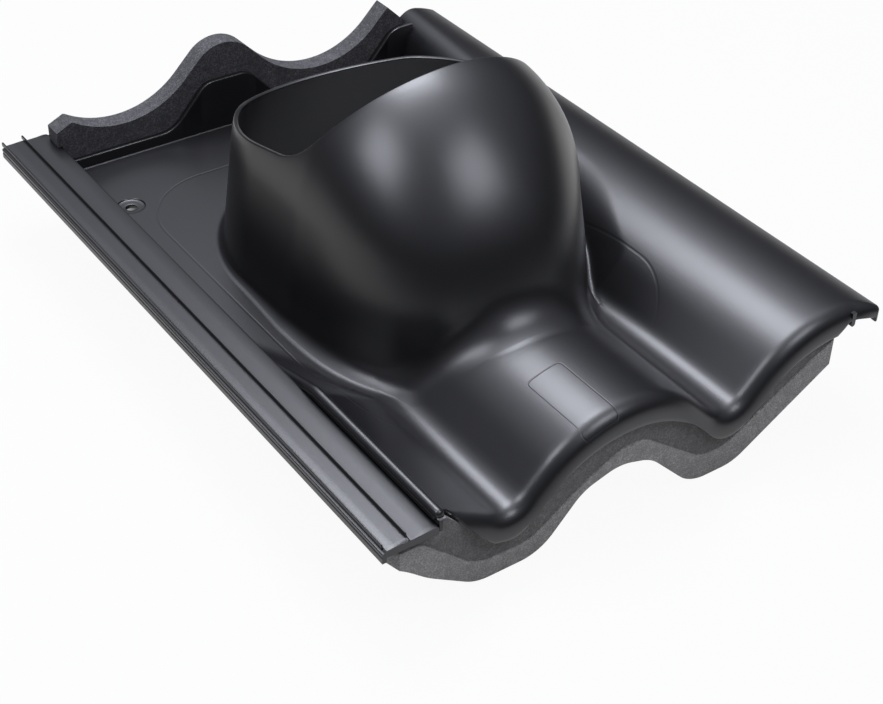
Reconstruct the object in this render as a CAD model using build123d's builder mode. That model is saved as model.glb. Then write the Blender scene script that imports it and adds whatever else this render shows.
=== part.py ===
"""Roof vent tile: a moulded double-wave tile with a hooded pipe dome and two foam seals.

Millimetres, +Z up. +Y runs up the roof, from the rolled lip at the front to the upstand at the rear.
The origin is the bottom centre of the whole part, on the surface that the front seal rests on.
Distances across are taken from the left edge, along from the lip, and heights from the flat pan.
"""
from build123d import *
from math import asin, atan2, cos, degrees, hypot, radians, sin, sqrt, tan
import os

# Overall sizes
tile_width = 336.0
tile_length = 453.6          # from the lip to the ends of the water bars
body_inset = 8.6             # rear of the body, ahead of the water bars' ends
pan_height = 41.0            # top of the flat pan above the resting surface
sheet = 3.0                  # wall of the moulding

# Waves
wave_pitch = 150.0
wave_height = 38.0
crest_radius = 72.0
flank_angle = 45.0
first_trough = 78.0

# Overlock on the right
edge_rib_depth = 11.0        # below the wave's top at the edge
inner_rib_inset = 20.0
inner_rib_depth = 16.3       # below the wave's top there

# Rolled lip
lip_radius = 10.0
lip_drop = 15.4

# Underlock strip on the left
strip_width = 33.0
strip_height = 18.0
strip_inset = 3.0            # rear of the strip, ahead of the water bars' ends
strip_corner = 5.0
strip_side = 8.0             # depth of the strip's outer side
strip_lip = 5.0              # depth of the strip's front edge
fin_width = 1.0
fin_height = 1.5
fin_places = (1.0, 14.8)
fin_start = 3.0

# Bank that climbs from the first trough to a bead beside the strip
bank_height = 22.0           # at the strip's edge
bank_length = 118.0          # level run, from the lip
bank_fade = 95.0             # run over which it sinks into the pan
bead_radius = 3.0
bead_overhang = 0.8          # past the bank's edge, over the strip
bead_start = 1.5

# Pan cut into the second wave
pan_front = 120.0
pan_side_front = 254.7       # foot of the side wall at the pan's front
pan_side_rear = 294.7        # foot of the side wall at the tile's rear
pan_corner = 25.0
pan_draft = 12.0

# Dome
dome_axis = 165.5
dome_front = 207.6           # axis of the front half round
dome_stretch = 47.3          # straight part between the two half rounds
collar_radius = 98.0         # at the pan
collar_draft = 6.84
hood_inset = 8.0             # hood's radius, less than the collar's

# Foot of the dome, squared at the front
foot_ahead = 22.6            # past the collar at the pan
foot_behind = 31.0           # past the dome's rear axis, where the collar hides its rear corners
foot_beside = 1.5
foot_corner_inset = 28.0     # corner's radius, less than the collar's
foot_top = 55.0              # height where it has run into the collar

# Mouth of the dome, along and up
mouth_brow = (172.0, 168.0)
mouth_bend = (216.0, 97.0)
mouth_slope = (318.0, 78.0)
mouth_tail = (366.0, 59.5)
mouth_bend_radius = 40.0
mouth_slope_radius = 60.0

# Upstand across the rear, with a hump for each crest
upstand_inset = 20.3         # its front, ahead of the body's rear
upstand_width = 4.3
upstand_low = 5.0
upstand_high = 34.5
hump_foot = 42.0             # half width of each hump at its foot
hump_top = 9.0               # half width of each hump at its top
hump_foot_radius = 20.0
hump_top_radius = 9.0

# Foam seals
seal_gap = 0.2               # between a seal and the moulding
seal_depth = 14.0
rear_seal_low = 22.0
rear_seal_crest_radius = 25.3
rear_seal_left = 30.0
rear_seal_left_peak = 43.4
rear_seal_left_height = 28.4
rear_seal_right_peak = 284.5
rear_seal_right = 299.5
rear_seal_right_height = 37.5
front_seal_inset = 4.0
front_seal_left = 8.0
front_seal_right = 305.0
front_seal_points = ((60.0, -38.5), (101.0, -38.5), (128.0, -9.0), (152.0, -2.0), (174.0, -8.5),
                     (206.0, -41.0), (243.0, -41.0), (277.0, -10.0))
front_seal_ends = (-4.5, 2.5)
front_seal_round = 28.0

# Screw hole
screw_hole = 7.0
screw_seat = 18.5
screw_seat_depth = 1.0
screw_across = 49.2
screw_along = 367.5

# Batten nibs under the rear
nib_width = 26.0
nib_depth = 10.0
nib_drop = 24.0
nib_inset = 6.0
nib_places = (78.0, 228.0)

# Derived values
left = -tile_width / 2
front = -tile_length / 2
body_length = tile_length - body_inset
strip_length = tile_length - strip_inset
upstand_front = body_length - upstand_inset
deep = -pan_height - lip_drop - sheet    # below every part of the moulding
beyond = 20.0                            # how far cuts run past the moulding
overlap = 1.0                            # how far blocks run into what they meet
half_pitch = wave_pitch / 2
flank = radians(flank_angle)
trough_radius = (half_pitch * sin(flank) - wave_height * cos(flank)) / (1 - cos(flank)) - crest_radius
first_crest = first_trough + half_pitch
second_trough = first_trough + wave_pitch
second_crest = second_trough + half_pitch
third_trough = second_trough + wave_pitch
draft = radians(collar_draft)
hood_radius = collar_radius - hood_inset
high = hood_radius + collar_radius       # above every part of the moulding
hood_height = (collar_radius - hood_radius * cos(draft)) / tan(draft) - hood_radius * sin(draft)
dome_back = dome_front + dome_stretch
foot_front = dome_front - collar_radius - foot_ahead
foot_back = dome_back + foot_behind
foot_half_width = collar_radius + foot_beside
foot_corner = collar_radius - foot_corner_inset
bank_run = first_trough - strip_width
bank_rise = trough_radius - bank_height
bank_angle = degrees(asin(trough_radius / hypot(bank_run, bank_rise)) - atan2(bank_rise, bank_run))


def across(y, x=0.0, z=0.0):
    """Upright plane across the tile, y from the lip, with its own x and y across and up."""
    return Plane(origin=(left + x, front + y, pan_height + z), x_dir=(1, 0, 0), z_dir=(0, -1, 0))


def level(z):
    """Level plane z above the pan, with its own x and y across and along."""
    return Plane(origin=(left, front, pan_height + z), x_dir=(1, 0, 0), z_dir=(0, 0, 1))


def along(x):
    """Upright plane along the tile, x from the left edge, with its own x and y along and up."""
    return Plane(origin=(left + x, front, pan_height), x_dir=(0, 1, 0), z_dir=(1, 0, 0))


def wave_top(x):
    """Height of the waves' top at a distance from the left edge."""
    reach = abs((x - first_crest + half_pitch) % wave_pitch - half_pitch)
    crest_end = crest_radius * sin(flank)
    if reach < crest_end:
        return wave_height - crest_radius + sqrt(crest_radius ** 2 - reach ** 2)
    if reach > half_pitch - trough_radius * sin(flank):
        return trough_radius - sqrt(trough_radius ** 2 - (half_pitch - reach) ** 2)
    return wave_height - crest_radius * (1 - cos(flank)) - (reach - crest_end) * tan(flank)


def wave_arcs(first, last, drop, before, after):
    """Draws the waves' top, lowered square to itself by drop, between two turning points.

    Turning points are counted from the first trough, so even ones are troughs and odd ones crests.
    The first arc starts at the angle before, and the last one ends at the angle after.
    """
    ends = []
    for count in range(first, last + 1):
        centre = first_trough + count * half_pitch
        opening = before if count == first else flank_angle
        closing = after if count == last else flank_angle
        if count % 2:
            arc = CenterArc((centre, wave_height - crest_radius), crest_radius - drop,
                            90 + opening, -opening - closing)
        else:
            arc = CenterArc((centre, trough_radius), trough_radius + drop,
                            270 - opening, opening + closing)
        if ends:
            Line(ends[-1], arc @ 0)
        ends += [arc @ 0, arc @ 1]
    return ends[0], ends[-1]


def run_back(length, fall):
    """Extrudes the open part's last sketch up the roof, falling by the amount given."""
    extrude(amount=hypot(length, fall), dir=(0, length, -fall))


def block(across_span, along_span, up_span, mode=Mode.ADD):
    """A box in the open part, between pairs of distances across, along and up."""
    with BuildSketch(level(up_span[0])) as plan:
        with Locations((across_span[0], along_span[0])):
            Rectangle(across_span[1] - across_span[0], along_span[1] - along_span[0],
                      align=(Align.MIN, Align.MIN))
    extrude(plan.sketch, amount=up_span[1] - up_span[0], mode=mode)


def round_lip(form, drop):
    """Rolls the top edge of the form over at the lip."""
    lowest = pan_height - drop - overlap
    rim = form.edges().group_by(Axis.Y)[0].filter_by(lambda edge: edge.center().Z > lowest)
    fillet(rim, radius=lip_radius - drop)


def second_wave(drop):
    """Solid under the second wave, from the second trough to the right edge."""
    with BuildPart() as form:
        with BuildSketch(across(drop)):
            with BuildLine():
                start, end = wave_arcs(2, 4, drop, 0, 0)
                Polyline(end, (third_trough, deep), (second_trough, deep), start)
            make_face()
            with Locations((second_trough, deep)):
                Rectangle(tile_width - drop - second_trough, high - deep, align=(Align.MIN, Align.MIN),
                          mode=Mode.INTERSECT)
        extrude(amount=-body_length)
        round_lip(form, drop)
    return form.part


def pan_space(drop):
    """The space of the pan in the second wave, drafted, with a rounded front corner."""
    spread = drop * (1 / cos(radians(pan_draft)) - tan(radians(pan_draft)))
    side = ((first_crest, pan_front - spread), (pan_side_front + spread, pan_front - spread),
            (pan_side_rear + spread, body_length + beyond))
    with BuildPart() as form:
        with BuildSketch(level(-drop)):
            with BuildLine():
                FilletPolyline(*side, radius=pan_corner + spread)
                Polyline(side[2], (first_crest, body_length + beyond), side[0])
            make_face()
        extrude(amount=high, taper=-pan_draft)
    return form.part


def bank_outline(drop):
    """Draws the bank and the first trough up to its lowest point, and the sides below them."""
    trough = CenterArc((first_trough, trough_radius), trough_radius + drop, 270 - bank_angle, bank_angle)
    edge = strip_width + drop
    low = trough @ 0
    high_end = (edge, low.Y + (low.X - edge) * tan(radians(bank_angle)))
    Polyline(trough @ 1, (first_trough, deep), (edge, deep), high_end, low)


def bank(drop):
    """Solid under the bank: a level run from the lip, and an end that sinks into the pan."""
    with BuildPart() as form:
        with BuildSketch(across(drop)):
            with BuildLine():
                bank_outline(drop)
            make_face()
        extrude(amount=2 * drop - bank_length)
        round_lip(form, drop)
        with BuildSketch(across(bank_length - drop)):
            with BuildLine():
                bank_outline(drop)
            make_face()
        run_back(bank_fade, bank_height + bead_radius)
    return form.part


def first_wave(drop):
    """Solid under the first crest, from the first trough to the second."""
    with BuildPart() as form:
        with BuildSketch(across(drop)):
            with BuildLine():
                start, end = wave_arcs(0, 2, drop, 0, 0)
                Polyline(end, (second_trough, deep), (first_trough, deep), start)
            make_face()
        extrude(amount=2 * drop - bank_length)
        round_lip(form, drop)
    return form.part


def pan(drop):
    """Solid under the flat pan, from the left edge to the second trough."""
    with BuildPart() as form:
        with BuildSketch(level(-drop)):
            with Locations((-drop, bank_length - drop)):
                Rectangle(second_trough + drop, body_length - bank_length + 2 * drop,
                          align=(Align.MIN, Align.MIN))
        extrude(amount=deep + drop)
    return form.part


def strip(drop):
    """Solid under the underlock strip."""
    with BuildPart() as form:
        with BuildSketch(level(strip_height - drop)) as plan:
            with Locations((drop, drop)):
                Rectangle(strip_width - 2 * drop, strip_length, align=(Align.MIN, Align.MIN))
            rear_right = plan.vertices().sort_by(Axis.X)[-2:].sort_by(Axis.Y)[-1]
            fillet(rear_right, radius=strip_corner - drop)
        extrude(amount=deep - strip_height + drop)
    return form.part


def dome(drop):
    """Solid inside the dome: two half rounds with a straight stretch between."""
    radius = hood_radius - drop
    tangent = (radius * cos(draft), hood_height + radius * sin(draft))
    base = tangent[0] + (tangent[1] - deep) * tan(draft)
    top = (0, hood_height + radius)
    with BuildPart() as form:
        for axis in (dome_front, dome_back):
            with BuildSketch(across(axis, dome_axis)):
                with BuildLine():
                    CenterArc((0, hood_height), radius, collar_draft, 90 - collar_draft)
                    Polyline(top, (0, deep), (base, deep), tangent)
                make_face()
            revolve(axis=Axis((left + dome_axis, front + axis, 0), (0, 0, 1)))
        with BuildSketch(across(dome_front, dome_axis)):
            with BuildLine():
                CenterArc((0, hood_height), radius, collar_draft, 180 - 2 * collar_draft)
                Polyline(tangent, (base, deep), (-base, deep), (-tangent[0], tangent[1]))
            make_face()
        extrude(amount=-dome_stretch)
    return form.part


def foot(drop):
    """The dome's foot, squared at the front, which narrows upwards into the collar."""
    top_radius = collar_radius - foot_top * tan(draft) - overlap
    base = (0, foot_front, foot_back, foot_half_width, foot_corner)
    top = (foot_top, dome_front - top_radius, dome_front + top_radius, top_radius, top_radius - overlap)
    with BuildPart() as form:
        for height, front_edge, back_edge, half, corner in (base, top):
            with BuildSketch(level(height)):
                with Locations((dome_axis, (front_edge + back_edge) / 2)):
                    RectangleRounded(2 * (half - drop), back_edge - front_edge - 2 * drop, corner - drop)
        loft()
        with BuildSketch(level(0)):
            with Locations((dome_axis, (foot_front + foot_back) / 2)):
                RectangleRounded(2 * (foot_half_width - drop), foot_back - foot_front - 2 * drop,
                                 foot_corner - drop)
        extrude(amount=deep)
    return form.part


def skin(drop):
    """Everything below the moulding's top surface, lowered square to itself by drop."""
    with BuildPart() as form:
        add(second_wave(drop))
        add(pan_space(drop), mode=Mode.SUBTRACT)
        add(first_wave(drop))
        add(bank(drop))
        add(pan(drop))
        add(strip(drop))
        add(foot(drop))
        add(dome(drop))
    return form.part


with BuildPart() as tile_body:
    add(skin(0.0))
    add(skin(sheet), mode=Mode.SUBTRACT)

    # Lower edge of the lip, which follows the waves, and open underside
    with BuildSketch(across(-beyond, 0, -lip_drop)):
        with BuildLine():
            start, end = wave_arcs(0, 4, 0, flank_angle, 0)
            lip_end = (start.X + start.Y - strip_height - lip_drop, strip_height + lip_drop)
            Polyline(start, lip_end, (lip_end[0], 2 * deep), (third_trough, 2 * deep), end)
        make_face()
    extrude(amount=-beyond - lip_radius, mode=Mode.SUBTRACT)
    far = (-beyond, tile_length + beyond)
    block((-beyond, strip_width - sheet), far, (deep, strip_height - strip_side), mode=Mode.SUBTRACT)
    block((-beyond, lip_end[0] + overlap), (-beyond, bank_length - sheet), (deep, strip_height - strip_lip),
          mode=Mode.SUBTRACT)
    block((-beyond, tile_width + beyond), (body_length, far[1]), (deep, -sheet), mode=Mode.SUBTRACT)
    edge_rib_bottom = wave_top(tile_width) - edge_rib_depth
    block((second_crest, tile_width + beyond), far, (deep, edge_rib_bottom), mode=Mode.SUBTRACT)
    block((-beyond, tile_width + beyond), far, (2 * deep, -lip_drop - sheet), mode=Mode.SUBTRACT)

    # Mouth of the dome
    with BuildSketch(along(0)):
        with BuildLine():
            FilletPolyline(mouth_brow, mouth_bend, mouth_slope, mouth_tail,
                           radius=(mouth_bend_radius, mouth_slope_radius))
            Polyline(mouth_tail, (mouth_tail[0], high), (mouth_brow[0], high), mouth_brow)
        make_face()
    extrude(amount=tile_width, mode=Mode.SUBTRACT)

    # Bead along the top of the bank, sinking with it
    bead_place = (strip_width + bead_radius - bead_overhang, bank_height)
    with BuildSketch(across(bead_start + bead_radius)):
        with Locations(bead_place):
            Circle(bead_radius)
    extrude(amount=bead_start + bead_radius - bank_length)
    with BuildSketch(across(bank_length)):
        with Locations(bead_place):
            Circle(bead_radius)
    run_back(bank_fade, bank_height + bead_radius)
    with Locations((left + bead_place[0], front + bead_start + bead_radius, pan_height + bead_place[1])):
        Sphere(bead_radius)

    # Inner rib of the overlock, under the second crest
    rib_left = tile_width - inner_rib_inset - sheet
    block((rib_left, rib_left + sheet), (sheet, body_length),
          (wave_top(rib_left) - inner_rib_depth, wave_top(rib_left + sheet) - sheet / 2))

    # Upstand across the rear, with a hump for each crest
    with BuildSketch(across(upstand_front)):
        with BuildLine():
            humps = [(strip_width - sheet, -sheet), (strip_width - sheet, upstand_low)]
            for crest in (first_crest, second_crest):
                humps += [(crest - hump_foot, upstand_low), (crest - hump_top, upstand_high),
                          (crest + hump_top, upstand_high), (crest + hump_foot, upstand_low)]
            humps = humps[:-2] + [(second_crest, upstand_high), (second_crest, -sheet)]
            rounds = [0] + [hump_foot_radius, hump_top_radius, hump_top_radius, hump_foot_radius,
                            hump_foot_radius, hump_top_radius] + [0]
            FilletPolyline(*humps, radius=rounds)
            Line(humps[-1], humps[0])
        make_face()
    extrude(amount=-upstand_width)

    # Water bars on the strip
    for place in fin_places:
        block((place, place + fin_width), (fin_start, tile_length),
              (strip_height - sheet / 2, strip_height + fin_height))

    # Batten nibs
    nib_back = body_length - nib_inset
    for place in nib_places:
        block((place - nib_width / 2, place + nib_width / 2), (nib_back - nib_depth, nib_back),
              (-sheet - nib_drop, -sheet / 2))

    # Screw hole in the pan
    with Locations((left + screw_across, front + screw_along, pan_height)):
        CounterBoreHole(screw_hole / 2, screw_seat / 2, screw_seat_depth, sheet)
tile_body.part.label = "tile_body"

# Rear foam seal, cut to the strip, the pan, its side wall and the second crest
rear_trough_radius = trough_radius + crest_radius - rear_seal_crest_radius
rear_middle = rear_seal_low + wave_height - rear_seal_crest_radius
seal_front = upstand_front + upstand_width + seal_gap
with BuildPart() as rear_foam_seal:
    with BuildSketch(across(seal_front)):
        with BuildLine():
            left_angle = degrees(asin((first_trough - rear_seal_left_peak) / rear_trough_radius))
            valley = rear_seal_low + rear_trough_radius
            first = CenterArc((first_trough, valley), rear_trough_radius, 270 - left_angle,
                              left_angle + flank_angle)
            middle = CenterArc((first_crest, rear_middle), rear_seal_crest_radius, 90 + flank_angle,
                               -2 * flank_angle)
            second = CenterArc((second_trough, valley), rear_trough_radius, 270 - flank_angle,
                               2 * flank_angle)
            end = second @ 1
            peak = (rear_seal_right_peak, end.Y + (rear_seal_right_peak - end.X) * tan(flank))
            Line(first @ 1, middle @ 0)
            Line(middle @ 1, second @ 0)
            Polyline(end, peak, (rear_seal_right, rear_seal_right_height), (rear_seal_right, deep),
                     (rear_seal_left, deep), (rear_seal_left, rear_seal_left_height), first @ 0)
        make_face()
    extrude(amount=-seal_depth)
    add(skin(-seal_gap), mode=Mode.SUBTRACT)
rear_foam_seal.part.label = "rear_foam_seal"

# Front foam seal, cut to the underside of the lip and of the strip's front edge
with BuildPart() as front_room:
    add(skin(sheet + seal_gap))
    block((0, strip_width + sheet + overlap), (0, bank_length), (deep, strip_height - strip_lip - seal_gap))

with BuildPart() as front_foam_seal:
    with BuildSketch(across(front_seal_inset)):
        with BuildLine():
            outline = [(front_seal_left, front_seal_ends[0])] + list(front_seal_points)
            outline += [(front_seal_right, front_seal_ends[1])]
            FilletPolyline(*outline, radius=front_seal_round)
            Polyline(outline[-1], (front_seal_right, high), (front_seal_left, high), outline[0])
        make_face()
    extrude(amount=-seal_depth)
    add(front_room.part, mode=Mode.INTERSECT)
front_foam_seal.part.label = "front_foam_seal"

os.makedirs("parts", exist_ok=True)
for piece in (tile_body, rear_foam_seal, front_foam_seal):
    export_step(piece.part, f"parts/{piece.part.label}.step")
    print(piece.part.label, len(piece.part.solids()), "solid,", round(piece.part.volume), "mm3")
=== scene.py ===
"""Roof vent tile: the moulded skin with its hooded dome, the strip, the upstand and two foam seals.

Sizes are in millimetres in the moulding's own places: across from the left edge, along from the lip
and up from the flat pan. place() turns them to metres in the row frame.
"""

import math

import bmesh
import bpy
import numpy as np
from mathutils import Matrix, Vector


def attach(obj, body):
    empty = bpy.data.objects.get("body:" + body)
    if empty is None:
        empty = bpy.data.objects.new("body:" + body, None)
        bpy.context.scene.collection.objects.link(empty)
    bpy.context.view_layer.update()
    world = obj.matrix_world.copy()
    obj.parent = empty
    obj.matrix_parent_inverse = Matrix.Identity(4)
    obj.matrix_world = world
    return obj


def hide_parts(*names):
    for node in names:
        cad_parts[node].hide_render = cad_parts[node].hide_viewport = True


bl_info = {
    "name": "Roof Vent Tile",
    "version": (1, 0, 0),
    "blender": (4, 5, 0),
    "location": "3D View > Sidebar > Vent Tile",
    "description": "Builds a moulded double-wave roof tile with a hooded pipe dome and foam seals",
    "category": "Add Mesh",
}

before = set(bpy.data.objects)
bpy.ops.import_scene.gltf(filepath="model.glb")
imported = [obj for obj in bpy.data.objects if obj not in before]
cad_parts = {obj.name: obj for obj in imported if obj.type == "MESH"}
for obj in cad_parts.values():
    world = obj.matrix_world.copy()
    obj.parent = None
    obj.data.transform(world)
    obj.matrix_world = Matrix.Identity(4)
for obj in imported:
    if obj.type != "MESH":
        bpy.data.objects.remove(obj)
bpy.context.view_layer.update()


# Sizes shared with the solid model
TILE_WIDTH = 336.0
BODY_LENGTH = 445.0
TILE_LENGTH = 453.6
STRIP_END = 450.6
PAN_HEIGHT = 41.0
FIRST_TROUGH = 78.0
HALF_PITCH = 75.0
WAVE_HEIGHT = 38.0
CREST_RADIUS = 72.0
FLANK = math.radians(45.0)
TROUGH_RADIUS = ((HALF_PITCH * math.sin(FLANK) - WAVE_HEIGHT * math.cos(FLANK)) / (1 - math.cos(FLANK))
                 - CREST_RADIUS)
STRIP_WIDTH = 33.0
STRIP_HEIGHT = 18.0
BANK_HEIGHT = 22.0
BANK_LENGTH = 118.0
BANK_FALL = 25.0 / 95.0
DOME_AXIS = 165.5
DOME_FRONT = 207.6
DOME_BACK = 254.9
COLLAR_RADIUS = 98.0
COLLAR_DRAFT = math.radians(6.84)
HOOD_RADIUS = 90.0
HOOD_HEIGHT = ((COLLAR_RADIUS - HOOD_RADIUS * math.cos(COLLAR_DRAFT)) / math.tan(COLLAR_DRAFT)
               - HOOD_RADIUS * math.sin(COLLAR_DRAFT))
SIDE_DRAFT = math.radians(12.0)
CUT_FRONT = 100.5
LIP_DROP = 15.4
UPSTAND_FRONT = 424.7
UPSTAND_WIDTH = 4.3
WALL = 3.0
SECOND_TROUGH = FIRST_TROUGH + 2 * HALF_PITCH

# How the pan is cut into the waves: its front slope, how much further than the bank the first wave
# stays level, and the foot of its wall beside the second wave as runs of (along, across, slope), with
# the span over which that wall goes from a wave's flank to its own draft
PAN_SLOPE = 0.6
LEVEL_EXTRA = 35.0
PAN_SIDE = ((127.0, 233.9, 0.3), (146.0, 257.9, 0.1229))
DRAFT_SPAN = (135.0, 250.0)
# The dome's soft nose: how far it reaches and the heights over which it fades
NOSE_REACH = 23.0
NOSE_FADE = (42.0, 140.0)
# Places of the skin's blocks: the ring block's sides, and the rounded right edge's start and foot
BLOCK_LEFT = 59.2
BLOCK_FRONT = 64.0
BLOCK_BACK = 402.0
BLOCK_GAP = 20.0
BLOCK_COLUMNS = 82
EDGE_START = 334.6
EDGE_FOOT = 21.5
# The screw hole's seat: its middle and half the square of faces around it
SEAT = (49.2, 367.5)
SEAT_HALF = 10.0


def place(points):
    """Moves points from the moulding's own places, in mm, to the row frame, in metres."""
    return (np.asarray(points) + (-TILE_WIDTH / 2, -TILE_LENGTH / 2, PAN_HEIGHT)) * 0.001


def ramp(value, start, end):
    """Smooth step: 0 before start, 1 after end, and 3t^2 - 2t^3 of the way between."""
    t = np.clip((value - start) / (end - start), 0, 1)
    return t * t * (3 - 2 * t)


def join_low(a, b, radius):
    """Union of two solids given by their distances, with a rolling-ball fillet of the given radius."""
    inner = np.sqrt(np.maximum(radius - a, 0) ** 2 + np.maximum(radius - b, 0) ** 2)
    return np.maximum(radius, np.minimum(a, b)) - inner


def join_high(a, b, radius):
    """What two solids share, with its edge rounded by the given radius."""
    return -join_low(-a, -b, radius)


def wave(x):
    """(height, slope) of the double wave: a trough arc, a straight flank and a crest arc, mirrored."""
    reach = np.abs((x - FIRST_TROUGH + HALF_PITCH) % (2 * HALF_PITCH) - HALF_PITCH)
    trough_end = TROUGH_RADIUS * math.sin(FLANK)
    crest_start = HALF_PITCH - CREST_RADIUS * math.sin(FLANK)
    low = np.minimum(reach, trough_end)
    top = HALF_PITCH - np.maximum(reach, crest_start)
    low_root = np.sqrt(TROUGH_RADIUS ** 2 - low ** 2)
    top_root = np.sqrt(CREST_RADIUS ** 2 - top ** 2)
    height = np.where(reach < crest_start,
                      TROUGH_RADIUS - low_root + np.maximum(reach - trough_end, 0) * math.tan(FLANK),
                      WAVE_HEIGHT - CREST_RADIUS + top_root)
    slope = np.where(reach < trough_end, low / low_root,
                     np.where(reach < crest_start, math.tan(FLANK), top / top_root))
    return height, slope


def bank(x):
    """(height, slope) left of the first trough: the trough's arc, then a straight rise to the strip."""
    run, rise = FIRST_TROUGH - STRIP_WIDTH, TROUGH_RADIUS - BANK_HEIGHT
    angle = math.asin(TROUGH_RADIUS / math.hypot(run, rise)) - math.atan2(rise, run)
    reach = np.maximum(FIRST_TROUGH - x, 0)
    end = TROUGH_RADIUS * math.sin(angle)
    low = np.minimum(reach, end)
    root = np.sqrt(TROUGH_RADIUS ** 2 - low ** 2)
    height = TROUGH_RADIUS - root + np.maximum(reach - end, 0) * math.tan(angle)
    return height, np.where(reach < end, low / root, math.tan(angle))


def side_foot(y):
    """Across place of the foot of the wall that the pan cuts into the second wave: two straight runs."""
    return np.minimum(*(across + slope * (y - along) for along, across, slope in PAN_SIDE))


def block_side(y):
    """Across place of the ring block's right side, which keeps beside the pan's wall."""
    along, across, slope = PAN_SIDE[1]
    return across + BLOCK_GAP + slope * (y - along)


def dome_distance(x, y, z):
    """Distance from the dome: a sphere swept along its core above, a drafted cone below it."""
    reach = np.hypot(x - DOME_AXIS, y - np.clip(y, DOME_FRONT, DOME_BACK))
    up = z - HOOD_HEIGHT
    cone = (reach - COLLAR_RADIUS + z * math.tan(COLLAR_DRAFT)) * math.cos(COLLAR_DRAFT)
    ball = np.hypot(reach, up) - HOOD_RADIUS
    return np.where(up > reach * math.tan(COLLAR_DRAFT), ball, cone)


def shares(x, y):
    """(nose, corner, crest) by direction from the dome: each 1 in front, falling to 0 on both sides."""
    turn = np.degrees(np.arctan2(DOME_AXIS - x, DOME_FRONT - y))
    return (ramp(turn, 85, 25) * ramp(turn, -52, -2), ramp(turn, 125, 60) * ramp(turn, -60, -20),
            ramp(turn, 32, 12) * ramp(turn, -34, -8))


def ground(x, y, z):
    """Distance from the moulding without its dome: waves and bank, the pan cut into them, and the pan.

    The first wave and the bank fall straight towards the pan. The second wave is cut by the pan's
    wall, which leans like the wave's flank in front and fades into it there.
    """
    rise, slope = wave(x)
    bank_rise, bank_slope = bank(x)
    left = x < FIRST_TROUGH
    rise, slope = np.where(left, bank_rise, rise), np.where(left, bank_slope, slope)
    first = x < SECOND_TROUGH
    level = BANK_LENGTH + LEVEL_EXTRA * ramp(x, FIRST_TROUGH - 4, FIRST_TROUGH + 16)
    fall = np.where(first, np.maximum(y - level, 0) * BANK_FALL, 0)
    waves = (z - rise + fall) / np.sqrt(1 + slope ** 2)
    start, end = DRAFT_SPAN
    draft = SIDE_DRAFT + (FLANK - SIDE_DRAFT) * np.clip((end - y) / (end - start), 0, 1)
    cut = z * np.sin(draft) - (x - side_foot(y)) * np.cos(draft)
    waves = np.where(first, waves, join_high(waves, cut, 0.2 + 15.8 * ramp(y, 135, 215)))
    pan = z + np.maximum(CUT_FRONT - y, 0) * PAN_SLOPE
    return join_low(waves, pan, 4.0 - 3.7 * ramp(x, 48, 66) + 3.7 * ramp(x, 238, 252))


def field(x, y, z):
    """Distance from the whole moulding, below zero inside it: the ground and the dome with its nose."""
    nose, corner, crest = shares(x, y)
    dome = dome_distance(x, y, z) - NOSE_REACH * nose * (1 - ramp(z, *NOSE_FADE))
    return join_low(ground(x, y, z), dome, 5.0 + 5.5 * corner + 9.0 * crest)


def height(x, y):
    """Height of the moulding's top at each place, by halving the span where field changes sign."""
    low, high = np.full(np.shape(x), -20.0), np.full(np.shape(x), 160.0)
    for _ in range(36):
        middle = (low + high) / 2
        inside = field(x, y, middle) < 0
        low, high = np.where(inside, middle, low), np.where(inside, high, middle)
    return (low + high) / 2


def normal_at(points):
    """Outward normals: the field's slope along each axis, made one long."""
    step = 0.02 * np.eye(3)
    slope = np.stack([field(*np.moveaxis(points + s, -1, 0)) - field(*np.moveaxis(points - s, -1, 0))
                      for s in step], -1)
    return slope / np.linalg.norm(slope, axis=-1, keepdims=True)


def on_top(x, y):
    """Points on the moulding's top over a grid of places."""
    return np.stack([x, y, height(x, y)], -1)


def fillet_line(points, radii):
    """A line through points with its corners rounded: each arc touches both runs at r tan(turn / 2)."""
    points = [np.array(p, float) for p in points]
    out = [points[0]]
    for before, corner, after, radius in zip(points, points[1:], points[2:], radii):
        a, b = before - corner, after - corner
        a, b = a / np.linalg.norm(a), b / np.linalg.norm(b)
        half = math.acos(np.clip(a @ b, -1, 1)) / 2
        centre = corner + (a + b) / np.linalg.norm(a + b) * radius / math.sin(half)
        turn = np.linspace(-1, 1, 13) * (math.pi / 2 - half)
        along = (b - a) / np.linalg.norm(b - a)
        inward = (corner - centre) / np.linalg.norm(corner - centre)
        out.extend(centre + radius * (np.cos(t) * inward + np.sin(t) * along) for t in turn)
    out.append(points[-1])
    return np.array(out)


MOUTH = fillet_line(((172, 168), (216, 97), (318, 78), (366, 59.5)), (40, 60))


def mouth_height(y):
    """Height of the mouth's cut at each place along, read from its rounded outline."""
    return np.interp(y, MOUTH[:, 0], MOUTH[:, 1])


def spaced(start, end, count, near=0.0, far=0.0):
    """count + 1 places from start to end, closer together at the ends by near and far (0 to 1)."""
    t = np.linspace(0, 1, count + 1)
    t = t + near * (t * t - t) * (1 - t) + far * (t - t * t) * t
    return start + (end - start) * t


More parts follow.
